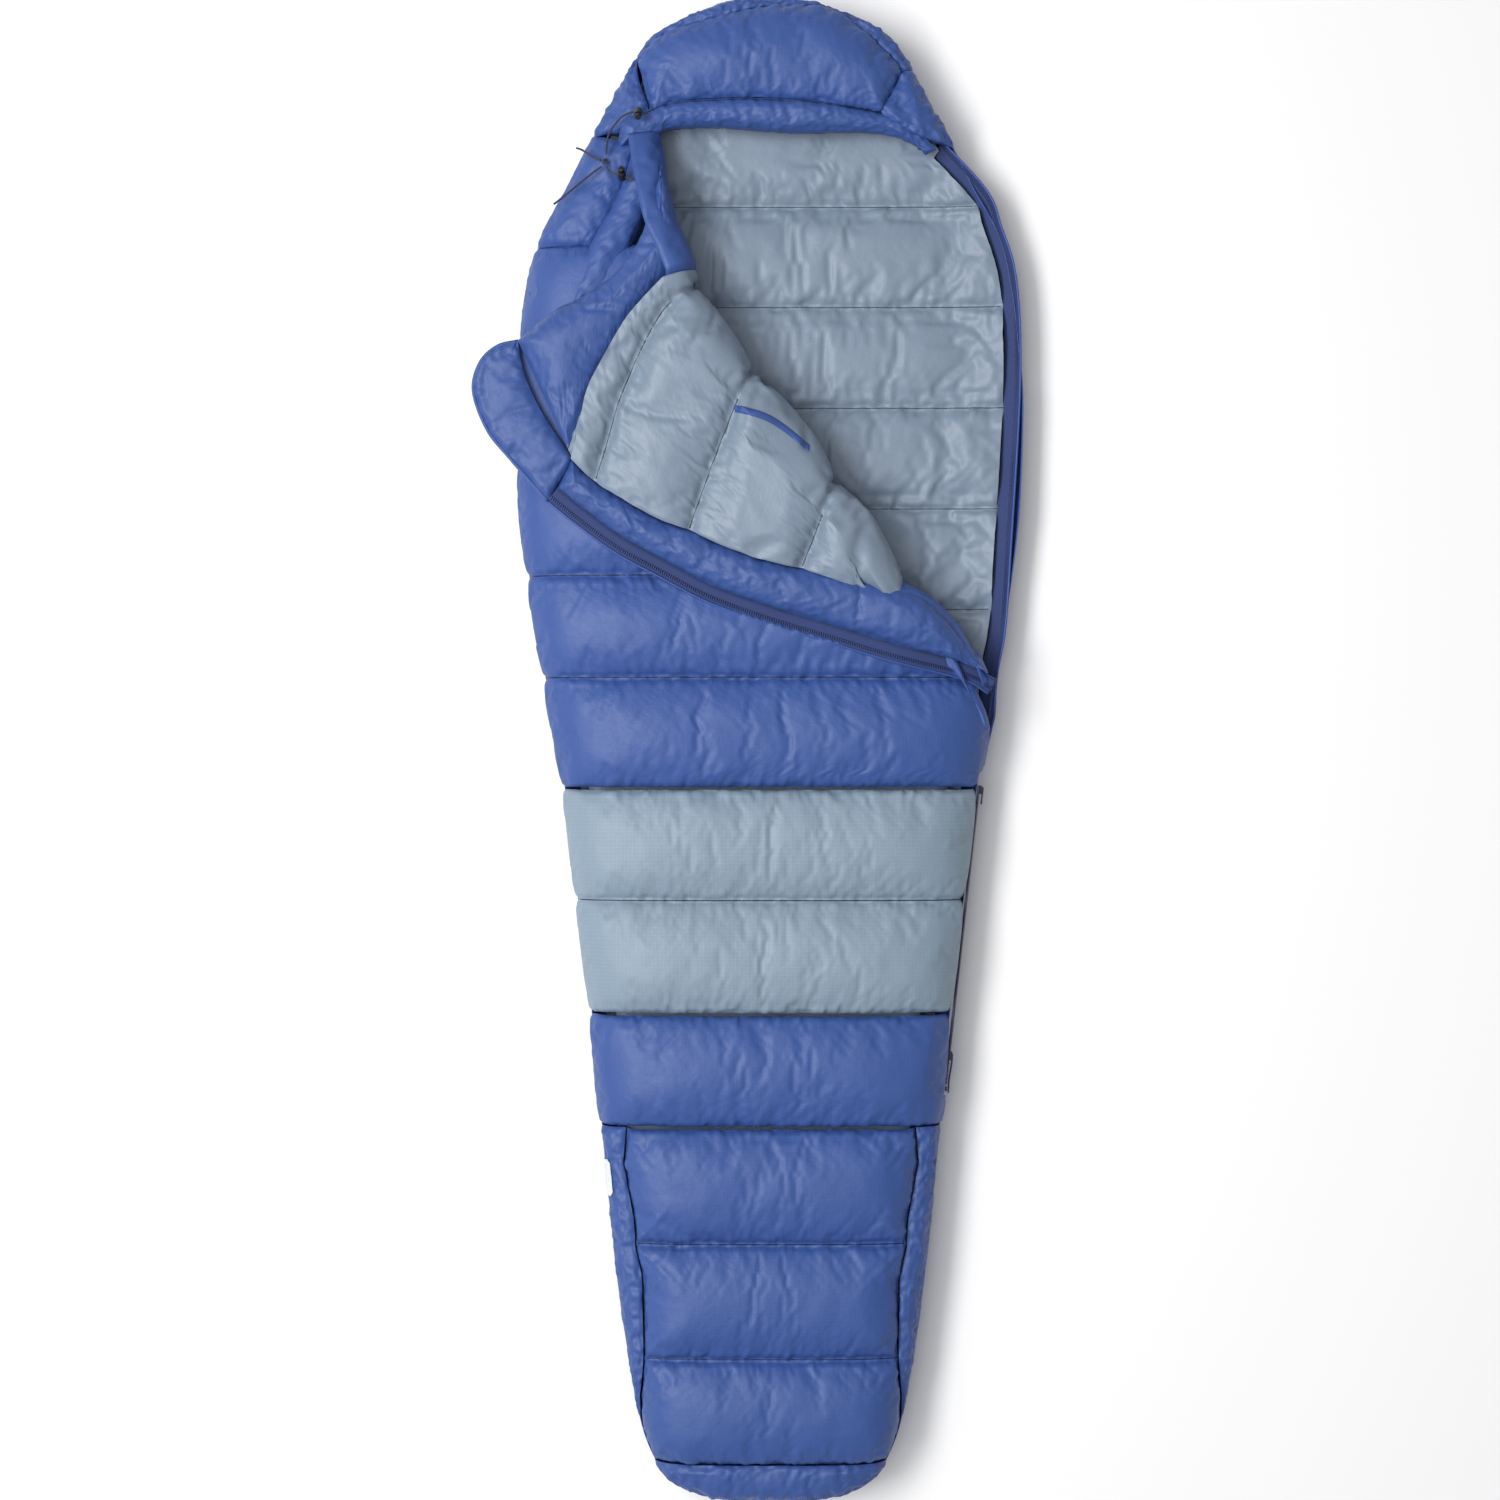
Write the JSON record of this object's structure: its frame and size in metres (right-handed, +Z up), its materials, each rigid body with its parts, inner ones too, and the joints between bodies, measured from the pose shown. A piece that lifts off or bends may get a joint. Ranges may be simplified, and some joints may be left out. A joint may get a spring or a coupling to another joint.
{
  "type": "mummy sleeping bag",
  "caption": "Blue and grey quilted mummy sleeping bag lying flat, side zip open from the hood and the front turned back like a lapel.",
  "frame": {"origin": "centre line of the bag, half way along its length, on the underside that rests on the ground", "axes": "+Y towards the hood, +X towards the zip side, +Z up"},
  "size_m": [0.7524, 2.08, 0.1649],
  "materials": {
    "shell_blue": "woven polyester",
    "shell_grey": "woven polyester",
    "liner_grey": "woven polyester",
    "lining_navy": "woven tape",
    "wadding": "synthetic wadding",
    "black_plastic": "moulded",
    "cord_dark": "braided cord",
    "label_white": "woven label"
  },
  "bodies": {
    "sleeping_bag": {"back_liner": "liner_grey", "back_shell": "shell_blue", "back_wadding": "wadding", "back_zip_tape": "lining_navy", "closed_zip_chain": "black_plastic", "collar_drawcord": "cord_dark", "drawcord_knot": "cord_dark", "drawcord_loop": "cord_dark", "drawcord_tail": "cord_dark", "footbox_end": "shell_blue", "front_liner": "liner_grey", "front_shell_chest": "shell_blue", "front_shell_foot": "shell_blue", "front_shell_grey": "shell_grey", "front_wadding_01": "wadding", "front_wadding_02": "wadding", "front_wadding_03": "wadding", "front_wadding_04": "wadding", "front_wadding_05": "wadding", "front_wadding_06": "wadding", "front_wadding_07": "wadding", "front_wadding_08": "wadding", "front_wadding_09": "wadding", "front_wadding_10": "wadding", "hood_brim_roll": "shell_blue", "hood_crown": "shell_blue", "hood_drawcord": "cord_dark", "hood_edge_strip": "shell_blue", "hood_left_panel": "shell_blue", "hood_liner": "liner_grey", "hood_right_panel": "shell_blue", "left_foot_gusset": "shell_blue", "left_shoulder_panel": "shell_blue", "left_side_wall": "shell_blue", "right_foot_gusset": "shell_blue", "right_side_wall": "shell_blue", "side_label": "label_white", "zip_bottom_stop": "black_plastic"},
    "front_flap": {"flap_corner_hem": "liner_grey", "flap_liner": "liner_grey", "flap_shell": "shell_blue", "flap_wadding_1": "wadding", "flap_wadding_2": "wadding", "flap_wadding_3": "wadding", "flap_wadding_4": "wadding", "flap_zip_tape": "lining_navy", "zip_draft_tube": "shell_blue", "collar_channel": "liner_grey", "draft_collar": "shell_blue", "pocket_bag": "liner_grey", "pocket_binding": "shell_blue"},
    "main_slider": {"main_slider": "black_plastic"},
    "main_slider_pull": {"main_slider_pull": "black_plastic"},
    "lower_slider": {"lower_slider": "black_plastic"},
    "lower_slider_tab": {"lower_slider_tab": "lining_navy"},
    "hood_cord_lock": {"hood_cord_lock": "black_plastic"},
    "hood_lock_button": {"hood_cord_lock_button": "black_plastic"},
    "collar_cord_lock": {"collar_cord_lock": "black_plastic"},
    "collar_lock_button": {"collar_cord_lock_button": "black_plastic"}
  },
  "joints": [
    {"name": "flap_fold", "type": "hinge", "parent": "sleeping_bag", "child": "front_flap", "pos_m": [0.291, 0.062, 0.118], "axis": [-0.5189, 0.8548, 0], "range_deg": [0, 170]},
    {"name": "main_slider_travel", "type": "slide", "parent": "sleeping_bag", "child": "main_slider", "axis": [-0.112, -0.9937, 0], "range_m": [0, 0.16]},
    {"name": "main_pull_swing", "type": "hinge", "parent": "main_slider", "child": "main_slider_pull", "pos_m": [0.29488, -0.05099, 0.054], "axis": [0, 0, 1], "range_deg": [0, 160]},
    {"name": "lower_slider_travel", "type": "slide", "parent": "sleeping_bag", "child": "lower_slider", "axis": [0.112, 0.9937, 0], "range_m": [0, 0.15]},
    {"name": "lower_tab_swing", "type": "hinge", "parent": "lower_slider", "child": "lower_slider_tab", "pos_m": [0.25322, -0.42065, 0.054], "axis": [0, 0, 1], "range_deg": [0, 160]},
    {"name": "hood_lock_travel", "type": "slide", "parent": "sleeping_bag", "child": "hood_cord_lock", "axis": [-0.9996, -0.025, -0.015], "range_m": [0, 0.004]},
    {"name": "hood_lock_press", "type": "slide", "parent": "hood_cord_lock", "child": "hood_lock_button", "axis": [-0.0035, 0.6131, -0.79], "range_m": [0, 0.0035], "stiffness_N_per_m": 400},
    {"name": "collar_lock_travel", "type": "slide", "parent": "sleeping_bag", "child": "collar_cord_lock", "axis": [-0.9231, 0.3077, -0.2308], "range_m": [0, 0.003]},
    {"name": "collar_lock_press", "type": "slide", "parent": "collar_cord_lock", "child": "collar_lock_button", "axis": [0.0266, -0.5474, -0.8364], "range_m": [0, 0.0035], "stiffness_N_per_m": 400}
  ]
}
